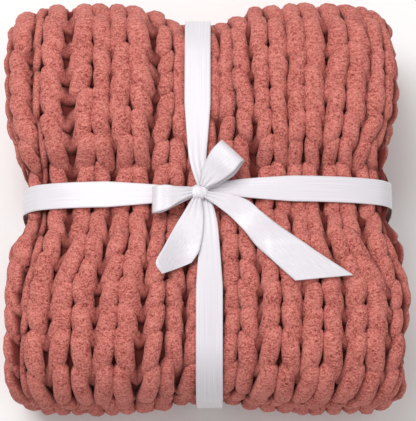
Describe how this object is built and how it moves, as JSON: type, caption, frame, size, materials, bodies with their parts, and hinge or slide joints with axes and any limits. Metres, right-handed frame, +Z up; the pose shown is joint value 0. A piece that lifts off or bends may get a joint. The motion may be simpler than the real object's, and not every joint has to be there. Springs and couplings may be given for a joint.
{
  "type": "folded knit blanket with ribbon tie",
  "caption": "Chunky chenille knit throw blanket folded into a square packet and tied both ways with a satin ribbon and bow.",
  "frame": {"origin": "middle of the packet's footprint, on the surface it lies on", "axes": "+Z up through the layers, +X across the knit's columns of stitches to the packet's right, +Y along those columns from the packet's front to its doubled back"},
  "size_m": [0.4067, 0.4118, 0.2069],
  "materials": {
    "chenille": "deep soft pile yarn, matt",
    "satin": "smooth woven satin, soft sheen"
  },
  "bodies": {
    "root": {"blanket": "chenille", "ribbon_band_front_back": "satin", "ribbon_band_left_right": "satin", "ribbon_knot": "satin", "ribbon_loop_left": "satin", "ribbon_loop_right": "satin", "ribbon_tail_left": "satin", "ribbon_tail_right": "satin"}
  },
  "joints": []
}
